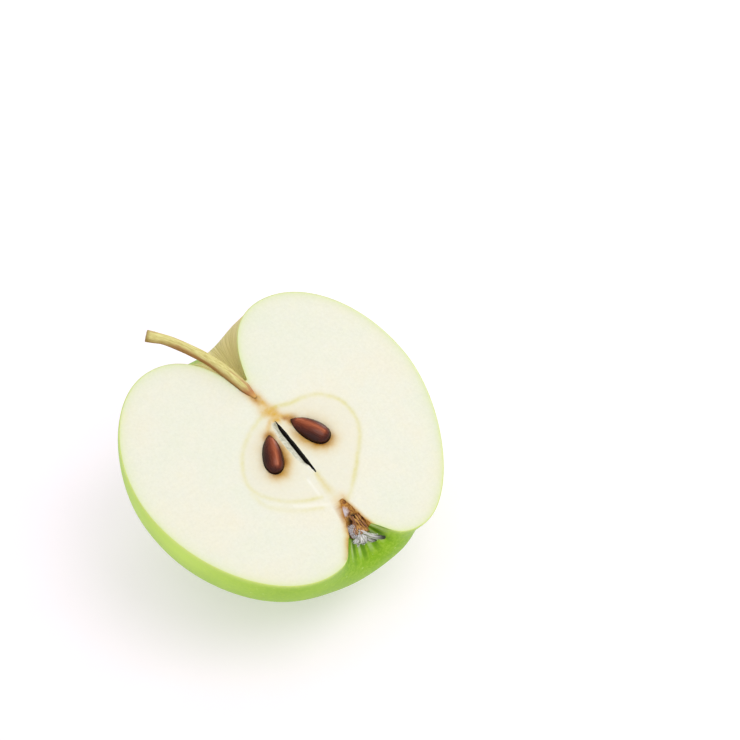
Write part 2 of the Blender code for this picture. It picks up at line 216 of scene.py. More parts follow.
def apple_skin(seat):
    """Waxy skin of a green apple: thin, glossy, with pale streaks from stalk to calyx and fine pale dots."""
    material, tree, shader = begin_material("waxy green apple skin")
    place = add(tree, "TexCoord", out="Object")
    own = add(tree, "Mapping", {"Vector": place, "Location": seat.to_translation(),
                                "Rotation": seat.to_euler()}, vector_type="TEXTURE")
    flank_painted_light, russet, edge, painted_groove_shade, down = [add(tree, "Attribute", out="Fac", attribute_name=name) for name in
                                        ("flank_painted_light", "russet", "edge", "painted_groove_shade", "down")]

    # Streaks run from stalk to calyx, so the pattern reads the direction round the core and little of height
    flat = add(tree, "VectorMath", {0: own, 1: (1, 0, 1)}, operation="MULTIPLY")
    aim = add(tree, "VectorMath", {0: flat}, operation="NORMALIZE")
    round_the_core = add(tree, "VectorMath", {0: aim, 1: (0.03, 0, 0.03)}, operation="MULTIPLY")
    height = add(tree, "VectorMath", {0: own, 1: (0, 0.22, 0)}, operation="MULTIPLY")
    streak_place = add(tree, "VectorMath", {0: round_the_core, 1: height}, operation="ADD")
    streaks = add(tree, "TexNoise", {"Vector": streak_place, "Scale": 1300, "Detail": 5, "Roughness": 0.65,
                                     "Distortion": 0.4})
    streaked = add(tree, "MapRange", {"Value": streaks, "From Min": 0.45, "From Max": 0.75, "To Max": 0.4})
    flecks = add(tree, "TexNoise", {"Vector": own, "Scale": 1300, "Detail": 4, "Roughness": 0.65,
                                    "Distortion": 0.5})
    flecked = add(tree, "MapRange", {"Value": flecks, "From Min": 0.44, "From Max": 0.62, "To Max": 0.5})

    # Lenticels: pale dots 0.3 mm across, about 3 mm apart
    dots = add(tree, "TexVoronoi", {"Vector": own, "Scale": 420, "Randomness": 1.0}, "Distance")
    dotted = add(tree, "MapRange", {"Value": dots, "From Min": 0.13, "From Max": 0.05, "To Max": 0.45})

    # Dry tan russet lines the stalk cavity in rays
    straight = add(tree, "VectorMath", {0: streak_place, 1: (1, 0.3, 1)}, operation="MULTIPLY")
    rays = add(tree, "TexNoise", {"Vector": straight, "Scale": 1800, "Detail": 4, "Roughness": 0.7})
    ray_tones = add(tree, "ValToRGB", {0: rays}, stops=[(0.3, "#b8a660"), (0.5, "#dbcd84"), (0.7, "#eee3a2")])
    ray_reach = add(tree, "Math", {0: rays, 1: 1.1, 2: -0.55}, operation="MULTIPLY_ADD")
    reach = add(tree, "Math", {0: russet, 1: ray_reach}, operation="ADD")
    russeted = add(tree, "MapRange", {"Value": reach, "From Min": 0.12, "From Max": 0.85},
                   interpolation_type="SMOOTHSTEP")

    # Broad patches go from fresh green to yellow green. A pale patch of painted light lies on the left flank,
    # the thin edge at the cut is painted pale for the light that shines through it, and the pleats of the
    # basin have painted shade in their grooves and grey down on their ridges
    broad = add(tree, "TexNoise", {"Vector": own, "Scale": 45, "Detail": 2})
    colour = add(tree, "ValToRGB", {0: broad}, stops=[(0.3, "#78aa06"), (0.55, "#89b90c"), (0.75, "#9fca1e")])
    for share, layer in ((streaked, "#9dc232"), (flecked, "#aacb40"), (dotted, "#cde388"), (flank_painted_light, "#c6e560"),
                         (russeted, ray_tones), (edge, "#dae58c"), (painted_groove_shade, "#5b8a10"), (down, "#cfdfa6")):
        colour = add(tree, "Mix", {0: share, 6: colour, 7: layer}, 2, data_type="RGBA")

    gloss = add(tree, "MapRange", {"Value": flecks, "From Min": 0.3, "From Max": 0.7, "To Min": 0.42,
                                   "To Max": 0.56})
    dryness = add(tree, "Math", {0: russeted, 1: 0.3, 2: gloss}, operation="MULTIPLY_ADD")
    low_relief = add(tree, "Bump", {"Height": flecks, "Strength": 0.25, "Distance": 0.00005})
    ray_relief = add(tree, "Math", {0: rays, 1: russeted}, operation="MULTIPLY")
    relief = add(tree, "Bump", {"Height": ray_relief, "Strength": 0.8, "Distance": 0.00025,
                                "Normal": low_relief})
    feed(tree, shader, {"Base Color": colour, "Roughness": dryness, "Normal": relief,
                        "Specular IOR Level": 0.1, "Coat Weight": 0.15, "Coat Roughness": 0.16,
                        "Subsurface Weight": 0.12, "Subsurface Radius": (0.5, 0.8, 0.1),
                        "Subsurface Scale": 0.0015})
    return material


# Stains and tissues of the flesh: the mask, its colour, its strength and how far a noise breaks it up
FLESH_LAYERS = [
    ("rim", "#cfdf86", 0.85, 0.15),
    ("zone", "#e8e1cb", 0.4, 0.3),
    ("halo", "#e2cc90", 0.6, 0.4),
    ("core_line", "#dcd584", 0.8, 0.5),
    ("white_vein", "#fbfaf4", 0.5, 0.5),
    ("tissue", "#d9ac3e", 1.0, 0.3),
    ("stain", "#a56615", 1.0, 0.3),
]


def apple_flesh():
    """Freshly cut flesh: moist, cream, slightly see-through, with sparkling cells and tissues of the core."""
    material, tree, shader = begin_material("moist apple flesh")
    place = add(tree, "TexCoord", out="Object")
    cloud = add(tree, "TexNoise", {"Vector": place, "Scale": 70, "Detail": 3, "Roughness": 0.55})
    cells = add(tree, "TexNoise", {"Vector": place, "Scale": 1500, "Detail": 3, "Roughness": 0.7})
    breakup = add(tree, "TexNoise", {"Vector": place, "Scale": 700, "Detail": 4, "Roughness": 0.7})
    clouds = add(tree, "ValToRGB", {0: cloud}, stops=[(0.3, "#e5e8d6"), (0.5, "#eae9d9"), (0.7, "#eee8d4")])
    cell_colour = add(tree, "ValToRGB", {0: cells}, stops=[(0.3, "#e0dfcd"), (0.7, "#f2f1e2")])
    colour = add(tree, "Mix", {0: 0.35, 6: clouds, 7: cell_colour}, 2, data_type="RGBA")
    for name, code, strength, broken in FLESH_LAYERS:
        mask = add(tree, "Attribute", out="Fac", attribute_name=name)
        full = add(tree, "MapRange", {"Value": breakup, "From Min": 0.35, "From Max": 0.65,
                                      "To Min": strength * (1 - broken), "To Max": strength})
        share = add(tree, "Math", {0: mask, 1: full}, operation="MULTIPLY", use_clamp=True)
        colour = add(tree, "Mix", {0: share, 6: colour, 7: code}, 2, data_type="RGBA")
    wet = add(tree, "MapRange", {"Value": cells, "From Min": 0.3, "From Max": 0.7, "To Min": 0.38,
                                 "To Max": 0.6})
    relief = add(tree, "Bump", {"Height": cells, "Strength": 0.35, "Distance": 0.0001})
    feed(tree, shader, {"Base Color": colour, "Roughness": wet, "Normal": relief, "IOR": 1.38,
                        "Subsurface Weight": 0.35, "Subsurface Radius": (0.9, 0.85, 0.6),
                        "Subsurface Scale": 0.0006})
    return material


def browned_wall(name, tones, roughness, spots=()):
    """Tissue of the core that has dried and browned in patches, with painted shade that turns it near black
    where it lies deep. Each spot is a place, a size and a colour.
    """
    material, tree, shader = begin_material(name)
    place = add(tree, "TexCoord", out="Object")
    patches = add(tree, "TexNoise", {"Vector": place, "Scale": 900, "Detail": 5, "Roughness": 0.65,
                                     "Distortion": 0.6})
    # Painted shade: near black where the wall lies deep below the cut face
    layers = [(add(tree, "Attribute", out="Fac", attribute_name="deep"), "#120d08")]
    for spot, size, code in spots:
        gap = add(tree, "VectorMath", {0: place, 1: spot}, "Value", operation="DISTANCE")
        uneven = add(tree, "Math", {0: patches, 1: -0.0012, 2: gap}, operation="MULTIPLY_ADD")
        share = add(tree, "MapRange", {"Value": uneven, "From Min": size, "From Max": size - 0.0006})
        layers.append((share, code))
    colour = add(tree, "ValToRGB", {0: patches}, stops=tones)
    for share, code in layers:
        colour = add(tree, "Mix", {0: share, 6: colour, 7: code}, 2, data_type="RGBA")
    rough = add(tree, "MapRange", {"Value": patches, "To Min": roughness - 0.12, "To Max": roughness + 0.1})
    relief = add(tree, "Bump", {"Height": patches, "Strength": 0.7, "Distance": 0.00012})
    feed(tree, shader, {"Base Color": colour, "Roughness": rough, "Normal": relief})
    return material


def seed_coat():
    """Hard, polished brown seed coat, finely streaked, with a painted red brown highlight along it and
    painted near black shade at its edges.
    """
    material, tree, shader = begin_material("polished brown seed coat")
    grain = add(tree, "Attribute", out="Vector", attribute_name="grain")
    painted_highlight = add(tree, "Attribute", out="Fac", attribute_name="painted_highlight")
    streaks = add(tree, "TexNoise", {"Vector": grain, "Scale": 2600, "Detail": 4, "Roughness": 0.6})
    cloud = add(tree, "TexNoise", {"Vector": grain, "Scale": 500, "Detail": 2})
    # Painted light and shade: the highlight mask lifts the coat to red brown along the seed, and where it
    # fades the edges go near black
    mixed = add(tree, "Math", {0: streaks, 1: 0.35, 2: painted_highlight}, operation="MULTIPLY_ADD")
    tones = add(tree, "ValToRGB", {0: mixed}, stops=[(0.22, "#150805"), (0.46, "#42190d"), (0.76, "#7a3519"),
                                                     (1.0, "#b4623f")])
    warm = add(tree, "MapRange", {"Value": cloud, "From Min": 0.4, "From Max": 0.7, "To Max": 0.25})
    colour = add(tree, "Mix", {0: warm, 6: tones, 7: "#5c2012"}, 2, data_type="RGBA")
    rough = add(tree, "MapRange", {"Value": streaks, "From Min": 0.3, "From Max": 0.7, "To Min": 0.2,
                                   "To Max": 0.34})
    relief = add(tree, "Bump", {"Height": streaks, "Strength": 0.3, "Distance": 0.00006})
    feed(tree, shader, {"Base Color": colour, "Roughness": rough, "Normal": relief,
                        "Specular IOR Level": 0.24})
    return material


def stalk_wood():
    """Dry woody stalk: pale olive and straw, striped lengthwise, with brown scars, a rough brown end and
    painted shade along its underside.
    """
    material, tree, shader = begin_material("dry apple stalk wood")
    grain = add(tree, "Attribute", out="Vector", attribute_name="grain")
    stripes = add(tree, "TexNoise", {"Vector": grain, "Scale": 3200, "Detail": 5, "Roughness": 0.6})
    patches = add(tree, "TexNoise", {"Vector": grain, "Scale": 620, "Detail": 3, "Roughness": 0.6})
    scarred = add(tree, "MapRange", {"Value": patches, "From Min": 0.51, "From Max": 0.62, "To Max": 0.75})
    layers = [(scarred, "#b5804f")]
    # The underside is darkened as painted shade; foot, scars and end are the stalk's own colours
    for name, code in (("under", "#9a662c"), ("foot", "#dba857"), ("scar", "#b5703f"), ("ends", "#94762e")):
        layers.append((add(tree, "Attribute", out="Fac", attribute_name=name), code))
    colour = add(tree, "ValToRGB", {0: stripes}, stops=[(0.3, "#beae60"), (0.5, "#d8cc80"), (0.7, "#e8e29c")])
    for share, code in layers:
        colour = add(tree, "Mix", {0: share, 6: colour, 7: code}, 2, data_type="RGBA")
    rough = add(tree, "MapRange", {"Value": stripes, "From Min": 0.3, "From Max": 0.7, "To Min": 0.5,
                                   "To Max": 0.7})
    relief = add(tree, "Bump", {"Height": stripes, "Strength": 0.6, "Distance": 0.00012})
    feed(tree, shader, {"Base Color": colour, "Roughness": rough, "Normal": relief})
    return material


def dried_tissue(name, stops, roughness):
    """Dried, papery plant tissue: its tones vary along the fibres and it hardly shines."""
    material, tree, shader = begin_material(name)
    grain = add(tree, "Attribute", out="Vector", attribute_name="grain")
    aged = add(tree, "Attribute", out="Fac", attribute_name="aged")
    fibres = add(tree, "TexNoise", {"Vector": grain, "Scale": 1800, "Detail": 4, "Roughness": 0.7})
    tones = add(tree, "ValToRGB", {0: fibres}, stops=stops)
    colour = add(tree, "Mix", {0: aged, 6: tones, 7: "#252b12"}, 2, data_type="RGBA")
    rough = add(tree, "MapRange", {"Value": fibres, "To Min": roughness - 0.1, "To Max": roughness + 0.1})
    relief = add(tree, "Bump", {"Height": fibres, "Strength": 0.6, "Distance": 0.0001})
    feed(tree, shader, {"Base Color": colour, "Roughness": rough, "Normal": relief})
    return material


def new_mesh(name, shape, materials, crease=55):
    """A mesh from a bmesh that is then freed, smooth but for its sharp edges."""
    mesh = bpy.data.meshes.new(name)
    shape.to_mesh(mesh)
    shape.free()
    for material in materials:
        mesh.materials.append(material)
    mesh.shade_smooth()
    mesh.set_sharp_from_angle(angle=math.radians(crease))
    return mesh


def show(name, data):
    """Puts an object with some data into the scene."""
    item = bpy.data.objects.new(name, data)
    bpy.context.scene.collection.objects.link(item)
    return item


def finish_piece(name, mesh, seat, node):
    """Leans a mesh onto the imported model, shows it in place of its node and lets it ride on the fruit."""
    mesh.transform(seat)
    piece = show(name, mesh)
    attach(piece, "root")
    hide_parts(node)
    return piece


def lobe_profile(lobe):
    """Points (radius, height) down one side of the fruit, from the stalk cavity to the calyx basin."""
    rise = lobe.crest_height - CAVITY_FLOOR
    fall = BASIN_FLOOR - lobe.base_height
    shoulder_width = lobe.belly_radius - lobe.crest_radius
    shoulder_rise = lobe.crest_height - lobe.belly_height
    flank_width = lobe.belly_radius - lobe.base_radius
    flank_fall = lobe.belly_height - lobe.base_height
    throat = (CAVITY_THROAT, CAVITY_FLOOR)
    crest = (lobe.crest_radius, lobe.crest_height)
    belly = (lobe.belly_radius, lobe.belly_height)
    base = (lobe.base_radius, lobe.base_height)
    spans = [
        (throat, (CAVITY_THROAT + 0.12 * lobe.crest_radius, CAVITY_FLOOR + 0.45 * rise),
         (0.45 * lobe.crest_radius, lobe.crest_height), crest),
        (crest, (lobe.crest_radius + lobe.shoulder_pull * shoulder_width, lobe.crest_height),
         (lobe.belly_radius, lobe.belly_height + lobe.shoulder_pull * shoulder_rise), belly),
        (belly, (lobe.belly_radius, lobe.belly_height - lobe.flank_pull * flank_fall),
         (lobe.base_radius + lobe.flank_pull * flank_width, lobe.base_height), base),
        (base, (0.5 * lobe.base_radius, lobe.base_height),
         (BASIN_THROAT + 0.25 * lobe.base_radius, BASIN_FLOOR - 0.5 * fall), (BASIN_THROAT, BASIN_FLOOR)),
    ]
    points = [Vector((0, CAVITY_FLOOR))]
    for span, count in zip(spans, PROFILE_STEPS):
        corners = [Vector((*corner, 0)) for corner in span]
        points += [point.to_2d() for point in interpolate_bezier(*corners, count)[:-1]]
    return points + [Vector((BASIN_THROAT, BASIN_FLOOR)), Vector((0, BASIN_FLOOR))]


def fruit_point(right, left, turn):
    """A point of the skin at the angle turn behind the cut face, between the right and left outlines."""
    blend = (1 - math.cos(turn)) / 2
    radius, height = right.lerp(left, blend)
    belly = (RIGHT_LOBE.belly_height + LEFT_LOBE.belly_height) / 2
    low = max(0.0, (belly - height) / (belly - RIGHT_LOBE.base_height)) ** 2
    high = max(0.0, (height - belly) / (RIGHT_LOBE.crest_height - belly)) ** 2
    outer = min(1.0, radius / RIGHT_LOBE.base_radius)
    behind = math.sin(turn)
    fold = behind * math.exp(-((turn - FOLD_TURN) / FOLD_SPREAD) ** 2)
    base_ribs = behind * math.cos(RIB_COUNT * (turn - BASE_RIB_START))
    crest_ribs = (math.cos(turn) - math.cos(RIB_COUNT * turn)) / 2
    radius *= 1 + low * (BASE_RIB_SHARE * base_ribs - FOLD_SHARE * fold)
    height += outer * high * (CREST_RIB_RISE * crest_ribs + CREST_BACK_RISE * behind)
    height += outer * low * FOLD_RISE * fold
    return Vector((radius * math.cos(turn), height, -radius * behind))


def ring_shares():
    """How far out each ring of the cut face lies: close at the rim, wide apart, then close in the core."""
    shares = [0.9955, 0.988, 0.976]
    while shares[-1] > 0.6:
        shares.append(shares[-1] - 0.024)
    while shares[-1] > 0.02:
        shares.append(shares[-1] - 0.0086)
    return shares


def half_fruit():
    """The skin turned from the right outline to the left one, and the cut face in rings inside its rim."""
    right, left = lobe_profile(RIGHT_LOBE), lobe_profile(LEFT_LOBE)
    shape = bmesh.new()
    place = shape.verts.layers.int.new("place")
    corners = [shape.verts.new((radius, height, 0)) for radius, height in right]
    for number, corner in enumerate(corners):
        corner[place] = number
    edges = [shape.edges.new(pair) for pair in zip(corners, corners[1:])]
    bmesh.ops.spin(shape, geom=corners + edges, cent=(0, 0, 0), axis=(0, 1, 0), angle=math.pi,
                   steps=TURN_STEPS)
    for corner in shape.verts:
        number = corner[place]
        if right[number].x > 0:
            turn = abs(math.atan2(corner.co.z, corner.co.x))
            corner.co = fruit_point(right[number], left[number], turn)
    bmesh.ops.remove_doubles(shape, verts=shape.verts, dist=1e-6)
    rim = [edge for edge in shape.edges if edge.is_boundary]
    outline = list(dict.fromkeys(corner for edge in rim for corner in edge.verts))
    for corner in outline:
        corner.co.z = 0
    before = 1.0
    loop = rim
    for number, share in enumerate(ring_shares()):
        grown = bmesh.ops.extrude_edge_only(shape, edges=loop)
        loop = [piece for piece in grown["geom"] if isinstance(piece, bmesh.types.BMEdge)]
        inner = [piece for piece in grown["geom"] if isinstance(piece, bmesh.types.BMVert)]
        ratio = share / before
        bmesh.ops.scale(shape, vec=(ratio, ratio, 1), verts=inner, space=Matrix.Translation(-POLE))
        for piece in grown["geom"]:
            if isinstance(piece, bmesh.types.BMFace):
                piece.material_index = 0 if number == 0 else 1
        before = share
    bmesh.ops.contextual_create(shape, geom=loop, mat_nr=1)
    for corner in outline:
        corner.co.z = -min(RIM_DROP, 0.3 * abs(corner.co.x) * math.pi / TURN_STEPS)
    bmesh.ops.recalc_face_normals(shape, faces=shape.faces)
    return shape


def seat_of(shape):
    """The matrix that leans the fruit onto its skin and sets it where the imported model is."""
    lean = Matrix.Rotation(LEAN, 4, "X")
    leaned = [lean @ corner.co for corner in shape.verts]
    highest = Vector([max(point[axis] for point in leaned) for axis in range(3)])
    return Matrix.Translation(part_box("apple_half")[1] - highest) @ lean


def seed_line(width, grow, fine):
    """Half the outline of a seed, from its tip at the origin down to its round end."""
    half = width / 2 + grow
    tip, end, widest = grow, -SEED_LENGTH - grow, -SEED_WIDEST_SHARE * SEED_LENGTH
    shoulder = [Vector(p) for p in ((0, tip, 0), (0.18 * half, 0.55 * tip - 0.02 * SEED_LENGTH, 0),
                                    (half, widest + 0.42 * SEED_LENGTH, 0), (half, widest, 0))]
    heel = [Vector(p) for p in ((half, widest, 0), (half, widest - 0.26 * SEED_LENGTH, 0),
                                (0.5 * half, end, 0), (0, end, 0))]
    return interpolate_bezier(*shoulder, fine)[:-1] + interpolate_bezier(*heel, fine)


def seed_shape(width, grow, fine, sides):
    """A seed turned about its length and then flattened."""
    shape = bmesh.new()
    corners = [shape.verts.new(point) for point in seed_line(width, grow, fine)]
    edges = [shape.edges.new(pair) for pair in zip(corners, corners[1:])]
    bmesh.ops.spin(shape, geom=corners + edges, cent=(0, 0, 0), axis=(0, 1, 0), angle=2 * math.pi,
                   steps=sides, use_merge=True)
    bmesh.ops.remove_doubles(shape, verts=shape.verts, dist=1e-6)
    flatten = (SEED_THICKNESS / 2 + grow) / (width / 2 + grow)
    bmesh.ops.scale(shape, vec=(1, 1, flatten), verts=shape.verts)
    bmesh.ops.recalc_face_normals(shape, faces=shape.faces)
    return shape


def seed_place(seed):
    """The matrix that sets a seed in the core, tip towards the stalk."""
    return Matrix.Translation((seed.tip_x, seed.tip_y, -SEED_SINK)) @ Matrix.Rotation(seed.spread, 4, "Z")


def smooth_path(points, steps):
    """Points on a smooth curve through the given ones."""
    corners = [Vector(point) for point in points]
    count = len(corners) - 1
    slopes = [corners[min(i + 1, count)] - corners[max(i - 1, 0)] for i in range(count + 1)]
    line = []
    for step in range(steps + 1):
        share = step / steps * count
        i = min(int(share), count - 1)
        pull = slopes[i] / 6 if 0 < i else slopes[i] / 3
        push = slopes[i + 1] / 6 if i + 1 < count else slopes[i + 1] / 3
        a, b, c, d = corners[i], corners[i] + pull, corners[i + 1] - push, corners[i + 1]
        t = share - i
        line.append(a * (1 - t) ** 3 + b * 3 * t * (1 - t) ** 2 + c * 3 * t * t * (1 - t) + d * t ** 3)
    return line


def between(values, share):
    """The value at a share of the way along an evenly spaced list."""
    place = share * (len(values) - 1)
    i = min(int(place), len(values) - 2)
    return values[i] + (values[i + 1] - values[i]) * (place - i)


def rod(shape, line, widths, depths, sides, aside, mat_nr=0, shift=0.0):
    """Adds a closed rod along a line by extruding its end. Its section is an oval, its widths along aside.

    Each corner gets its grain: its place across the rod and a sixth of its distance along it. A shift moves
    the grain, so that like rods get different tones.
    """
    grain = shape.verts.layers.float_vector["grain"]
    stations = []
    travelled = 0.0
    for number, point in enumerate(line):
        along = (line[min(number + 1, len(line) - 1)] - line[max(number - 1, 0)]).normalized()
        across = (aside - along * aside.dot(along)).normalized()
        share = number / (len(line) - 1)
        wide, deep = between(widths, share), between(depths, share)
        travelled += (point - line[max(number - 1, 0)]).length
        turned = Matrix((across * wide, across.cross(along) * -deep, along * (wide + deep) / 2)).transposed()
        stations.append((Matrix.Translation(point) @ turned.to_4x4(), wide, deep, travelled))
    ring = bmesh.ops.create_circle(shape, segments=sides, radius=1, matrix=stations[0][0])["verts"]
    loop = list(dict.fromkeys(edge for corner in ring for edge in corner.link_edges))
    first = loop
    rings = [ring]
    for before, after in zip(stations, stations[1:]):
        grown = bmesh.ops.extrude_edge_only(shape, edges=loop)["geom"]
        loop = [piece for piece in grown if isinstance(piece, bmesh.types.BMEdge)]
        ring = [piece for piece in grown if isinstance(piece, bmesh.types.BMVert)]
        bmesh.ops.transform(shape, matrix=after[0] @ before[0].inverted(), verts=ring)
        rings.append(ring)
    for end in (first, loop):
        bmesh.ops.contextual_create(shape, geom=end)
    for ring, (frame_here, wide, deep, distance) in zip(rings, stations):
        back = frame_here.inverted()
        for corner in ring:
            spot = back @ corner.co
            corner[grain] = (spot.x * wide + shift, spot.y * deep, distance / 6)
    for face in {face for ring in rings for corner in ring for face in corner.link_faces}:
        face.material_index = mat_nr
    return rings


def begin_shape():
    """A new bmesh that can hold the grain of its pieces."""
    shape = bmesh.new()
    shape.verts.layers.float_vector.new("grain")
    return shape


def tube_axes():
    """Axes of the calyx tube: its first axis runs from the mouth up to the tip."""
    up = (TUBE_TIP - TUBE_MOUTH).normalized()
    side = up.cross(Vector((0, 0, 1))).normalized()
    return up, side, Vector((0, 0, 1))


def slit_shape():
    """The thin leaf-shaped blade that opens the empty seed chamber."""
    middle, half = (SLIT_TOP + SLIT_END) / 2, (SLIT_TOP - SLIT_END) / 2
    shape = bmesh.new()
    bmesh.ops.create_circle(shape, cap_ends=True, segments=96, radius=half)
    for corner in shape.verts:
        waver = noise.noise(corner.co * 700) * 0.00008
        reach = abs(corner.co.x) / half
        swell = reach if corner.co.y > 0 else reach ** 0.6
        corner.co.x = math.copysign(swell * SLIT_WIDTH / 2, corner.co.x) + waver
    grown = bmesh.ops.extrude_face_region(shape, geom=list(shape.faces))
    bottom = [piece for piece in grown["geom"] if isinstance(piece, bmesh.types.BMVert)]
    bmesh.ops.scale(shape, vec=(0.5, 0.85, 1), verts=bottom)
    bmesh.ops.translate(shape, vec=(0, 0, -SLIT_DEPTH - OVERHANG), verts=bottom)
    bmesh.ops.translate(shape, vec=(CORE_X, middle, OVERHANG), verts=shape.verts)
    return shape


def ledge_shape():
    """The shallow slope left of the slit, where the papery wall of the chamber shows."""
    middle, half = (SLIT_TOP + SLIT_END) / 2 + 0.0008, (SLIT_TOP - SLIT_END) / 2 - 0.0012
    shape = bmesh.new()
    bmesh.ops.create_circle(shape, cap_ends=True, segments=72, radius=half)
    for corner in shape.verts:
        reach = max(0.0, -corner.co.x / half)
        bluntness = 0.5 if corner.co.y > 0 else 0.95
        corner.co.x = -LEDGE_WIDTH * reach ** bluntness if reach > 0.001 else 0.0
    grown = bmesh.ops.extrude_face_region(shape, geom=list(shape.faces))
    middle_ring = [piece for piece in grown["geom"] if isinstance(piece, bmesh.types.BMVert)]
    bmesh.ops.translate(shape, vec=(0, 0, -OVERHANG), verts=middle_ring)
    floor = [piece for piece in grown["geom"] if isinstance(piece, bmesh.types.BMFace)]
    bottom = list(bmesh.ops.extrude_discrete_faces(shape, faces=floor)["faces"][0].verts)
    bmesh.ops.scale(shape, vec=(0.2, 0.93, 1), verts=bottom)
    bmesh.ops.scale(shape, vec=(1, 0.82, 1), verts=[corner for corner in bottom if corner.co.y < 0])
    bmesh.ops.translate(shape, vec=(0, 0, -LEDGE_DEPTH), verts=bottom)
    bmesh.ops.translate(shape, vec=(CORE_X - 0.0002, middle, OVERHANG), verts=shape.verts)
    bmesh.ops.remove_doubles(shape, verts=shape.verts, dist=1e-7)
    return shape


def tube_shape():
    """The hollow above the basin: a narrow, uneven cone that ends in a point."""
    up, side, out = tube_axes()
    length = (TUBE_TIP - TUBE_MOUTH).length
    stations = [TUBE_MOUTH - up * TUBE_OVERHANG]
    stations += [TUBE_MOUTH + up * length * share for share in TUBE_STATIONS]
    radii = [TUBE_RADIUS * share for share in TUBE_RADIUS_SHARES]
    shape = begin_shape()
    line, widths = [], []
    for step in range(31):
        share = step / 30
        line.append(between(stations, share))
        widths.append(between(radii, share))
    rod(shape, line, widths, widths, 56, side)
    for corner in shape.verts:
        corner.co += noise.noise_vector(corner.co * 900) * 0.00014
    return shape


def groove_shape():
    """The bed of the stalk's foot in the flesh."""
    line = smooth_path(STALK_PATH, STALK_STEPS)[STALK_START:][::4]
    line[0] -= (line[1] - line[0]).normalized() * GROOVE_GAP
    radii = [radius + GROOVE_GAP for radius in STALK_WOOD_RADII]
    shape = begin_shape()
    rod(shape, line, radii, radii, 32, Vector((1, 0, 0)))
    return shape


def carve(shape, cutters, materials):
    """The mesh that is left of a shape once its cutters are taken away. Each names its walls' material."""
    collection = bpy.data.collections.new("cutters")
    bpy.context.scene.collection.children.link(collection)
    for number, (cutter, wall) in enumerate(cutters):
        bmesh.ops.recalc_face_normals(cutter, faces=cutter.faces)
        for face in cutter.faces:
            face.material_index = wall
        mesh = new_mesh(f"cutter_{number}", cutter, materials)
        collection.objects.link(bpy.data.objects.new(f"cutter_{number}", mesh))
    block = show("whole", new_mesh("whole", shape, materials))
    cut = block.modifiers.new("cut", "BOOLEAN")
    cut.operation = "DIFFERENCE"
    cut.solver = "EXACT"
    cut.operand_type = "COLLECTION"
    cut.collection = collection
    graph = bpy.context.evaluated_depsgraph_get()
    mesh = bpy.data.meshes.new_from_object(block.evaluated_get(graph))
    for item in [block, *collection.objects]:
        bpy.data.objects.remove(item)
    bpy.data.collections.remove(collection)

    # Merged corners and faces cut into triangles leave no slivers that fold onto each other
    left = bmesh.new()
    left.from_mesh(mesh)
    bmesh.ops.remove_doubles(left, verts=left.verts, dist=1e-7)
    bmesh.ops.triangulate(left, faces=left.faces)
    left.to_mesh(mesh)
    left.free()
    return mesh


def places_of(mesh):
    """Every corner of a mesh as rows of x, y and z."""
    places = np.empty(len(mesh.vertices) * 3)
    mesh.vertices.foreach_get("co", places)
    return places.reshape(-1, 3)


def paint(mesh, name, values):
    """Stores one number per corner, which a material reads by its name."""
    layer = mesh.attributes.new(name, "FLOAT", "POINT")
    layer.data.foreach_set("value", np.clip(values, 0, 1).astype(np.float32))


def ease(low, high, values):
    """A soft step from 0 at low to 1 at high."""
    share = np.clip((values - low) / (high - low), 0, 1)
    return share * share * (3 - 2 * share)


def millimetres(point):
    """The place of a point on the cut plane in millimetres."""
    return 1000 * point.x, 1000 * point.y


def tree_of(points):
    """A tree that finds the nearest of some points."""
    tree = kdtree.KDTree(len(points))
    for number, point in enumerate(points):
        tree.insert(point, number)
    tree.balance()
    return tree


def distance_to(flat, line):
    """How far each point of the cut plane is from a smooth line through points given in millimetres."""
    corners = [np.array(point.to_2d()) / 1000 for point in smooth_path([(*point, 0) for point in line], 40)]
    nearest = np.full(len(flat), 1.0)
    for start, end in zip(corners, corners[1:]):
        along = end - start
        share = np.clip((flat - start) @ along / (along @ along), 0, 1)
        gap = np.linalg.norm(flat - start - share[:, None] * along, axis=1)
        nearest = np.minimum(nearest, gap)
    return nearest


def strongest(flat, marks):
    """The strongest of some soft lines at each point of the cut plane: strength, line and width."""
    return np.maximum.reduce([strength * np.exp(-(distance_to(flat, line) / width) ** 2)
                              for strength, line, width in marks])


def seed_outline(seed):
    """The outline of a seed's pocket on the cut plane, in millimetres."""
    half = seed_line(seed.width, POCKET_GAP, 12)
    ring = [Vector((-p.x, p.y, 0)) for p in reversed(half)] + half[1:]
    return [millimetres(seed_place(seed) @ point) for point in ring]


def tube_edge(side_sign):
    """Where the wall of the calyx tube meets the cut face, and on the left the rim of the basin after it."""
    up, side, out = tube_axes()
    if side.x < 0:
        side = -side
    length = (TUBE_TIP - TUBE_MOUTH).length
    line = []
    for step in range(9):
        share = 1 - step / 8
        radius = TUBE_RADIUS * float(np.interp(share, TUBE_STATIONS, TUBE_RADIUS_SHARES[1:]))
        line.append(TUBE_MOUTH + up * length * share + side * radius * side_sign)
    edge = [millimetres(point) for point in line]
    if side_sign < 0:
        basin = reversed(lobe_profile(LEFT_LOBE)[-PROFILE_STEPS[3] - 1:-1])
        edge += [(-1000 * point.x, 1000 * point.y) for point in basin if TUBE_RADIUS < point.x < 0.0066][::6]
    return edge


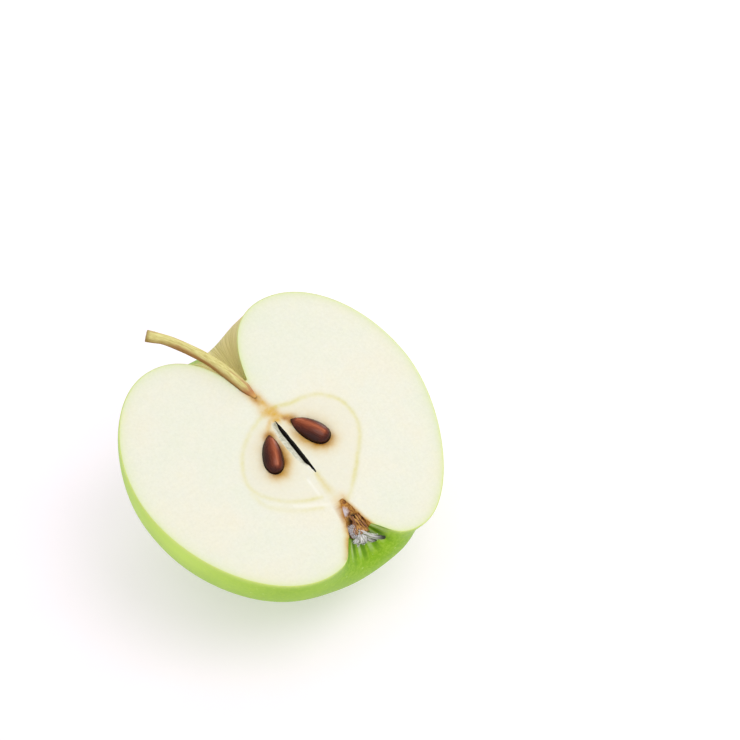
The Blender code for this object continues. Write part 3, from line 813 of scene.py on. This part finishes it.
def paint_fruit(mesh, outline):
    """Marks where the tissues of the core, the stains and the rim show, and sinks them a little. It also
    marks painted light and shade on the skin and in the hollows.
    """
    places = places_of(mesh)
    flat = places[:, :2].copy()
    across, height, out = places.T
    on_top = np.exp(-(out / 0.0007) ** 2)
    rough = np.array([noise.noise(Vector(row) * 420) for row in places])
    wander = np.array([noise.noise(Vector(row) * 130) for row in places])

    lines = strongest(flat, [(1, CORE_LINE_RIGHT, 0.00052), (0.65, CORE_LINE_LEFT, 0.0005),
                             (0.4, OUTER_LINE_LEFT, 0.0006), (1, BASE_VEIN, 0.00055)])
    lines = lines * (0.85 + 0.5 * wander) * on_top

    pole = np.array(POLE.to_2d())
    core = np.array(CORE_LINE_RIGHT + CORE_LINE_LEFT[::-1]) / 1000 - pole
    angles = np.arctan2(core[:, 1], core[:, 0])
    order = np.argsort(angles)
    mine = flat - pole
    reach = np.interp(np.arctan2(mine[:, 1], mine[:, 0]), angles[order], np.hypot(*core[order].T),
                      period=2 * np.pi)
    zone = ease(0.0015, -0.0015, np.hypot(*mine.T) - reach) * on_top

    white = strongest(flat, [(1, WHITE_VEIN, 0.00038), (0.8, WHITE_BAND, 0.0004)])

    broad = 0.0013 + 0.0005 * np.exp(-((height - 0.0088) / 0.0016) ** 2)
    tissue = strongest(flat, [(1.05 + 0.6 * rough, STALK_TISSUE, broad), (1, RIGHT_TISSUE, 0.001),
                              (0.7, LEFT_TISSUE, 0.0006), (0.2, BASE_VEIN, 0.0006)])
    stain = strongest(flat, [(0.35 + 0.8 * rough, STALK_STAIN, 0.0007),
                             (0.8 + 0.6 * rough, TIP_STAIN, 0.0006)])
    halo = np.zeros(len(flat))
    sunk = np.zeros(len(flat))
    for seed in SEEDS.values():
        gap = distance_to(flat, seed_outline(seed))
        middle = (seed_place(seed) @ Vector((0, -0.6 * SEED_LENGTH, 0))).to_2d()
        aim = flat - np.array(middle)
        aim /= np.linalg.norm(aim, axis=1)[:, None] + 1e-9
        inward = -math.copysign(1, middle.x)
        tip_gap = np.linalg.norm(flat - np.array((seed.tip_x, seed.tip_y)), axis=1)
        # Round each seed the stain, tissue and halo are strongest on the side towards the calyx and the
        # core's middle, and at its tip
        lean = 0.12 + 0.88 * ease(-0.3, 0.7, aim @ np.array((0.6 * inward, -0.8)))
        lean = np.maximum(lean, np.exp(-(tip_gap / 0.0016) ** 2))
        stain = np.maximum(stain, lean * np.exp(-(gap / 0.0008) ** 1.5) * (1.1 + 1.2 * rough))
        tissue = np.maximum(tissue, 0.95 * lean * np.exp(-(gap / 0.0015) ** 2))
        halo = np.maximum(halo, (0.4 + 0.6 * lean) * np.exp(-(gap / 0.0024) ** 2))
        sunk = np.maximum(sunk, np.exp(-gap / 0.0006))
    for line, strength, yellow in ((tube_edge(-1), 1.0, 0.0009), (tube_edge(1), 0.6, 0.0005)):
        gap = distance_to(flat, line)
        reached = strength * ease(-0.0300, -0.0255, height)
        stain = np.maximum(stain, reached * np.exp(-gap / 0.00022) * (1.2 + 0.9 * rough))
        tissue = np.maximum(tissue, 0.9 * np.exp(-(gap / yellow) ** 2) * ease(-0.0300, -0.0235, height))
    apex = np.linalg.norm(flat - np.array(TUBE_TIP.to_2d()), axis=1)
    tissue = np.maximum(tissue, 0.8 * np.exp(-(apex / 0.0012) ** 2))

    tree = tree_of(outline)
    inset = np.array([tree.find(Vector((x, y, 0)))[2] for x, y in flat])
    rim = (0.75 * np.exp(-inset / 0.0005) + 0.25 * np.exp(-inset / 0.0018)) * on_top

    mouth = np.array(TUBE_MOUTH)
    distance = np.hypot(across, out)
    russet = ease(0.0170, 0.0075, distance + 0.004 * (across < 0) + 0.0012 * wander) * (height > 0.012)
    from_mouth = places - mouth - np.array((0, -0.0008, -0.001))
    near_mouth = np.linalg.norm(from_mouth, axis=1)
    spread = np.arctan2(from_mouth[:, 0], -from_mouth[:, 2] + 0.0015)
    near = 0.8 * ease(0.0078, 0.004, near_mouth + 0.001 * rough)
    # Painted shade in the grooves between the pleats; the grey down sits on their ridges
    painted_groove_shade = near * ease(0.1, 0.9, np.cos(spread * 13 + 1.2 * wander))
    down = 0.5 * ease(0.0062, 0.0034, near_mouth) * ease(0.2, 0.95, np.cos(spread * 13 + 2.6 + 1.2 * wander))

    # A pale patch of painted light on the left flank
    light_patch_gap = np.linalg.norm((places - np.array(PAINTED_LIGHT_MIDDLE)) / np.array(PAINTED_LIGHT_REACH), axis=1)
    flank_painted_light = (0.85 + 0.25 * wander) * np.exp(-light_patch_gap ** 2)
    # Painted shade for the walls of the hollows, darker the deeper they lie below the cut face
    deep = 0.9 * ease(-0.0010, -0.0026, out)
    cut_face = out > -1e-7
    sink = 0.00005 * np.clip(lines, 0, 1) + 0.0002 * sunk + 0.00012 * np.clip(tissue, 0, 1)
    sink += 0.00003 * (1 + wander) + 0.00002 * (1 + rough)
    places[:, 2] -= np.where(cut_face, sink * ease(0.0002, 0.0012, inset), 0)
    skin = out < -0.0008
    belly = np.array([noise.noise(Vector(row) * 95 + Vector((3, 1, 7))) for row in places])
    dent = UNDULATION * (0.5 + 0.5 * belly) * ease(-0.0008, -0.006, out) * (distance > 0.004)
    towards = np.stack([across, 0.6 * height, out], axis=1)
    towards /= np.linalg.norm(towards, axis=1)[:, None]
    on_skin = skin_corners(mesh)
    places -= towards * (dent * on_skin * skin)[:, None]
    pleating = 0.00016 * ease(0.0075, 0.003, near_mouth) * np.cos(spread * 13 + 1.2 * wander)
    places[:, 1] += pleating * on_skin * ease(-0.0003, -0.0012, out)
    mesh.vertices.foreach_set("co", places.ravel())

    edge = np.exp(out / 0.0006) * (out > -0.005)
    for name, values in (("core_line", lines), ("zone", zone), ("tissue", tissue * on_top), ("rim", rim),
                         ("white_vein", white * on_top), ("stain", stain * np.exp(-(out / 0.0012) ** 2)),
                         ("halo", halo * on_top), ("flank_painted_light", flank_painted_light), ("deep", deep), ("russet", russet),
                         ("painted_groove_shade", painted_groove_shade), ("down", down), ("edge", 0.8 * edge)):
        paint(mesh, name, values)


def skin_corners(mesh):
    """Which corners lie on the skin alone, and not on any flesh."""
    on_flesh = np.zeros(len(mesh.vertices), bool)
    for face in mesh.polygons:
        if face.material_index > 0:
            on_flesh[list(face.vertices)] = True
    return ~on_flesh


def make_fruit(shape, seat):
    """The half with its pockets, slit, tube and stalk bed, marked for its materials."""
    # The hole in the tube is a near black spot of painted shade; the pale lilac scrap is membrane
    scrap = seat @ Vector((0.0003, -0.0186, -0.0005))
    painted_hole_shade = seat @ Vector((0.0012, -0.0206, -0.0014))
    materials = [
        apple_skin(seat),
        apple_flesh(),
        # The walls of the slit and of the seeds' pockets are painted near black as shade
        browned_wall("seed chamber wall painted dark as shade", [(0.35, "#0f0c08"), (0.65, "#2b1f13")], 0.8),
        browned_wall("papery core membrane", [(0.3, "#b3b198"), (0.5, "#d8d5c0"), (0.7, "#e9e6d5")], 0.45),
        browned_wall("browned wall of the calyx tube",
                     [(0.3, "#442812"), (0.43, "#8e5820"), (0.55, "#c68d3a"), (0.7, "#e0bb74")], 0.7,
                     [(painted_hole_shade, 0.0006, "#0d0b06"), (scrap, 0.0007, "#ddd6dc")]),
    ]
    outline = [corner.co.copy() for corner in shape.verts if corner.co.z > -1.01 * RIM_DROP
               and not any(face.material_index == 1 for face in corner.link_faces)]
    cutters = [(slit_shape(), 2), (ledge_shape(), 3), (tube_shape(), 4), (groove_shape(), 1)]
    for seed in SEEDS.values():
        pocket = seed_shape(seed.width, POCKET_GAP, 18, 48)
        bmesh.ops.transform(pocket, matrix=seed_place(seed), verts=pocket.verts)
        cutters.append((pocket, 2))
    mesh = carve(shape, cutters, materials)
    mesh.name = "apple"
    paint_fruit(mesh, outline)
    mesh.shade_smooth()
    mesh.set_sharp_from_angle(angle=math.radians(55))
    piece = finish_piece("apple", mesh, seat, "apple_half")
    for corner in piece.data.vertices:
        corner.co.z = max(corner.co.z, 0.0)


def make_seeds(seat):
    """Two finely wrinkled seeds, each with a painted highlight along it and painted shade at its edges."""
    coat = seed_coat()
    for name, seed in SEEDS.items():
        shape = seed_shape(seed.width, 0.0, 40, 72)
        grain = shape.verts.layers.float_vector.new("grain")
        painted_highlight = shape.verts.layers.float.new("painted_highlight")
        for corner in shape.verts:
            across = corner.co.x / (seed.width / 2)
            along = -corner.co.y / SEED_LENGTH
            corner[grain] = (corner.co.x, corner.co.z, corner.co.y / 6)
            # A painted highlight runs along the seed a little to its +x side and fades to painted shade at
            # the edges, the tip and the round end
            reach = 1.0 - min(1.0, abs(across - 0.2) / (0.8 if across > 0.2 else 1.15))
            corner[painted_highlight] = 0.8 * reach ** 0.95 * min(1.0, 0.35 + 5 * along) * min(1.0, 6 * (1 - along))
            wrinkle = noise.noise(Vector((corner.co.x * 2600, corner.co.z * 2600, corner.co.y * 500)))
            corner.co *= 1 - 0.012 * (0.5 + 0.5 * wrinkle)
        bmesh.ops.transform(shape, matrix=seed_place(seed), verts=shape.verts)
        finish_piece(name + "_coat", new_mesh(name + "_coat", shape, [coat]), seat, name)


def make_stalk(seat):
    """The bent stalk with fine ribs along it, its foot in the flesh and a rough broken end."""
    shape = begin_shape()
    masks = shape.verts.layers.float
    under, ends, foot, scar = [masks.new(name) for name in ("under", "ends", "foot", "scar")]
    line = smooth_path(STALK_PATH, STALK_STEPS)[STALK_START:][::2]
    radii = [radius * 0.985 for radius in STALK_WOOD_RADII]
    rings = rod(shape, line, radii, radii, 40, Vector((1, 0, 0)))
    last = len(rings) - 1
    for number, (ring, middle) in enumerate(zip(rings, line)):
        share = number / last
        for corner in ring:
            outward = corner.co - middle
            angle = math.atan2(outward.z, outward.x)
            ribs = 0.035 * math.cos(9 * angle + 5 * share) + 0.025 * math.cos(17 * angle - 9 * share)
            lumps = 0.05 * noise.noise(corner.co * 350)
            corner.co = middle + outward * (0.94 + ribs + lumps)
            highest = 0.00005 + 0.0024 * share / 0.22
            corner.co.z = min(corner.co.z, highest)
            aim = outward.normalized()
            # Painted shade on the stalk's lower side
            corner[under] = 0.85 * max(0.0, min(1.0, -1.3 * aim.x - 0.5 * aim.z - 0.1))
            spots = 0.5 + 0.5 * noise.noise(corner.co * 900)
            corner[foot] = 0.9 * max(0.0, min(1.0, (0.09 - share) / 0.06 + 0.3 * spots))
            corner[scar] = 0.8 * math.exp(-((share - 0.10 + 0.05 * spots) / 0.035) ** 2)
            corner[ends] = 0.8 * max(0.0, (share - 0.972) / 0.028)
    inset = bmesh.ops.inset_region(shape, faces=[face for face in shape.faces if len(face.verts) == 40],
                                   thickness=0.0003)
    for corner in rings[-1]:
        corner.co += Vector((-0.6, 0.7, 0.1)) * 0.0002 * noise.noise(corner.co * 2500)
    for face in inset["faces"]:
        for corner in face.verts:
            corner[ends] = 0.8
    bmesh.ops.recalc_face_normals(shape, faces=shape.faces)
    finish_piece("stalk_wood", new_mesh("stalk_wood", shape, [stalk_wood()]), seat, "stalk")


def sepal_line(tip, shorter):
    """The middle line of a sepal: it leaves the plug, spreads over the basin and bends down at its tip."""
    up, side, out = tube_axes()
    base = TUBE_MOUTH + up * 0.0009 - out * PLUG_BEHIND
    tip = Vector(tip).lerp(base, shorter)
    away = (tip - base - up * (tip - base).dot(up)).normalized()
    line = smooth_path([base, base.lerp(tip, 0.4) - up * 0.0005, base.lerp(tip, 0.75) - up * 0.00035, tip,
                        tip + away * 0.0001 - up * 0.0002], 24)
    return line, away.cross(up).normalized(), up


def add_sepal(shape, tip, number):
    """One sepal: a cupped, wrinkled leaf with a thickness. Returns places and directions for its fuzz."""
    grain = shape.verts.layers.float_vector["grain"]
    aged = shape.verts.layers.float["aged"]
    darkness = SEPAL_DARKNESS[number]
    line, across, up = sepal_line(tip, SEPAL_SHORTENING[number])
    blade = bmesh.ops.create_grid(shape, x_segments=10, y_segments=26, size=0.5)["verts"]
    roots = []
    for corner in blade:
        aside, share = 2 * corner.co.x, min(1.0, max(0.0, corner.co.y + 0.5))
        middle = between(line, share)
        wide = between(SEPAL_HALF_WIDTHS, share)
        cup = 0.00035 * aside * aside * (1 - share)
        spot = middle + across * aside * wide + up * cup
        spot += up * 0.00016 * noise.noise(spot * 1500)
        corner.co = spot
        corner[grain] = (aside * wide + 0.01 * number, 0.0, share * 0.001)
        corner[aged] = darkness * min(1.0, max(0.0, 2.5 * share - 0.6))
        if dice.random() > 1.7 * darkness * share:
            roots.append((spot.copy(), up.copy(), share))
    faces = list(dict.fromkeys(face for corner in blade for face in corner.link_faces))
    bmesh.ops.recalc_face_normals(shape, faces=faces)
    tree = tree_of([corner.co for corner in blade])
    known = [(corner[grain].copy(), corner[aged]) for corner in blade]
    grown = bmesh.ops.solidify(shape, geom=blade + faces, thickness=SEPAL_THICKNESS)["geom"]
    for corner in {corner for face in grown if isinstance(face, bmesh.types.BMFace) for corner in face.verts}:
        corner[grain], corner[aged] = known[tree.find(corner.co)[1]]
    return roots


def add_fuzz(shape, roots, count):
    """Adds a batch of fine hairs that grow from some roots, twice as thick as real down so that they show."""
    batch = begin_shape()
    for number in range(count):
        root, direction, share = dice.choice(roots)
        lean = Vector((dice.uniform(-1, 1), dice.uniform(-1, 1), dice.uniform(-0.2, 1.2)))
        aim = (direction * dice.uniform(-0.4, 0.8) + lean).normalized()
        size = dice.uniform(0.00025, 0.0006)
        bend = Vector((dice.uniform(-1, 1), dice.uniform(-1, 1), dice.uniform(-1, 1))) * 0.25 * size
        line = [root - aim * 0.0001, root + aim * size * 0.5 + bend, root + aim * size]
        radii = [FUZZ_RADIUS, FUZZ_RADIUS, 0.3 * FUZZ_RADIUS]
        rod(batch, line, radii, radii, 4, aim.orthogonal(), mat_nr=2, shift=dice.uniform(0, 0.1))
    mesh = bpy.data.meshes.new("fuzz")
    batch.to_mesh(mesh)
    batch.free()
    shape.from_mesh(mesh)
    bpy.data.meshes.remove(mesh)


def make_calyx(seat):
    """Plug, sepals, stamens and fuzz as one piece."""
    up, side, out = tube_axes()
    shape = begin_shape()
    shape.verts.layers.float.new("aged")
    plug = [TUBE_MOUTH + up * height - out * PLUG_BEHIND for height in (0.0002, 0.0010, 0.0018, 0.0026)]
    rod(shape, smooth_path(plug, 9), PLUG_RADII, PLUG_DEPTHS, 24, side, mat_nr=1)
    for number in range(STAMEN_COUNT):
        share = number / (STAMEN_COUNT - 1)
        foot = TUBE_MOUTH + up * 0.0010 + side * (0.0026 * share - 0.0004)
        foot -= out * (0.0008 + 0.0004 * (number % 3))
        reach = 0.0028 + 0.0009 * math.cos(2.7 * number)
        tip = TUBE_MOUTH + up * (0.0010 + reach) + side * (0.0020 * share - 0.0004)
        tip -= out * (0.0003 + 0.00035 * (number % 4))
        bow = side * 0.0004 * math.cos(3 * number) + out * 0.0002 * math.sin(5 * number)
        line = smooth_path([foot, foot.lerp(tip, 0.5) + bow, tip], 14)
        rod(shape, line, STAMEN_RADII, STAMEN_RADII, 9, side, mat_nr=1, shift=0.013 * number)
    left = -1 if side.x > 0 else 1
    roots = []
    for number in range(400):
        nook = side * left * (0.0004 + 0.0017 * (number % 20) / 19)
        nook += up * (-0.0002 + 0.0028 * (number // 20) / 19)
        roots.append((TUBE_MOUTH + nook - out * 0.0009, up, 0.2))
    for number, tip in enumerate(SEPAL_TIPS):
        roots += add_sepal(shape, tip, number)
    for number in range(FUZZ_COUNT // FUZZ_BATCH):
        add_fuzz(shape, roots, FUZZ_BATCH)
    bmesh.ops.recalc_face_normals(shape, faces=shape.faces)
    materials = [
        dried_tissue("dried downy sepal", [(0.42, "#4f5f2c"), (0.49, "#b0b39c"), (0.6, "#efedf0")], 0.85),
        dried_tissue("dried brown stamen",
                     [(0.34, "#4a2a1c"), (0.44, "#8a5a44"), (0.52, "#b27c34"), (0.64, "#d0a258")], 0.75),
        dried_tissue("pale plant down",
                     [(0.38, "#3a4022"), (0.43, "#aeaaa6"), (0.52, "#e4e1e6"), (0.7, "#fbfafc")], 0.8),
    ]
    finish_piece("calyx_remains", new_mesh("calyx_remains", shape, materials), seat, "calyx")


def light_table():
    """Opal sheet of a light table, lit from below, as under packshots, which keeps shadows pale.

    Its faint pink evens out the green cast that the skin throws on it.
    """
    material, tree, shader = begin_material("opal light table")
    mottle = add(tree, "TexNoise", {"Vector": add(tree, "TexCoord", out="Object"), "Scale": 40, "Detail": 2})
    tones = add(tree, "ValToRGB", {0: mottle}, stops=[(0.3, "#dacfda"), (0.7, "#ddd2dd")])
    feed(tree, shader, {"Base Color": tones, "Roughness": 0.9, "Emission Color": "#ffffff",
                        "Emission Strength": 0.37})
    return material


# Soft light overhead, a weak fill and a low light at the right for highlights: place, size and power
LIGHTS = [
    ("key", (0.22, -0.30, 0.80), 0.6, 1.95),
    ("fill", (-0.6, -0.6, 0.6), 0.7, 0.5),
    ("side", (0.75, 0.25, 0.30), 0.35, 1.0),
]


def make_studio():
    """White floor, white surroundings and the lights."""
    shape = bmesh.new()
    bmesh.ops.create_grid(shape, x_segments=2, y_segments=2, size=3)
    floor = show("floor", new_mesh("floor", shape, [light_table()]))

    world = bpy.data.worlds.new("studio")
    world.use_nodes = True
    feed(world.node_tree, world.node_tree.nodes["Background"], {"Color": "#ffffff", "Strength": 0.80})
    bpy.context.scene.world = world
    for name, place, size, power in LIGHTS:
        data = bpy.data.lights.new(name, "AREA")
        data.shape = "DISK"
        data.size = size
        data.energy = power
        light = show(name, data)
        light.location = place
        light.rotation_euler = (Vector((0, 0, 0.03)) - Vector(place)).to_track_quat("-Z", "Y").to_euler()


def make_camera():
    """Looks down at the cut face from the calyx side, as the photograph does."""
    data = bpy.data.cameras.new("camera")
    data.lens = 139.66
    data.clip_start = 0.01
    camera = show("camera", data)
    right = Vector((0.774, -0.6332, -0.0053))
    up = Vector((0.4684, 0.5668, 0.6777))
    forward = Vector((0.4262, 0.527, -0.7353))
    camera.matrix_world = (Matrix.Translation((-0.23792, -0.32410, 0.49013))
                           @ Matrix((right, up, -forward)).transposed().to_4x4())
    bpy.context.scene.camera = camera


make_studio()
make_camera()
bpy.context.scene.view_settings.view_transform = "Standard"
fruit = half_fruit()
fruit_seat = seat_of(fruit)
make_fruit(fruit, fruit_seat)
make_seeds(fruit_seat)
make_stalk(fruit_seat)
make_calyx(fruit_seat)
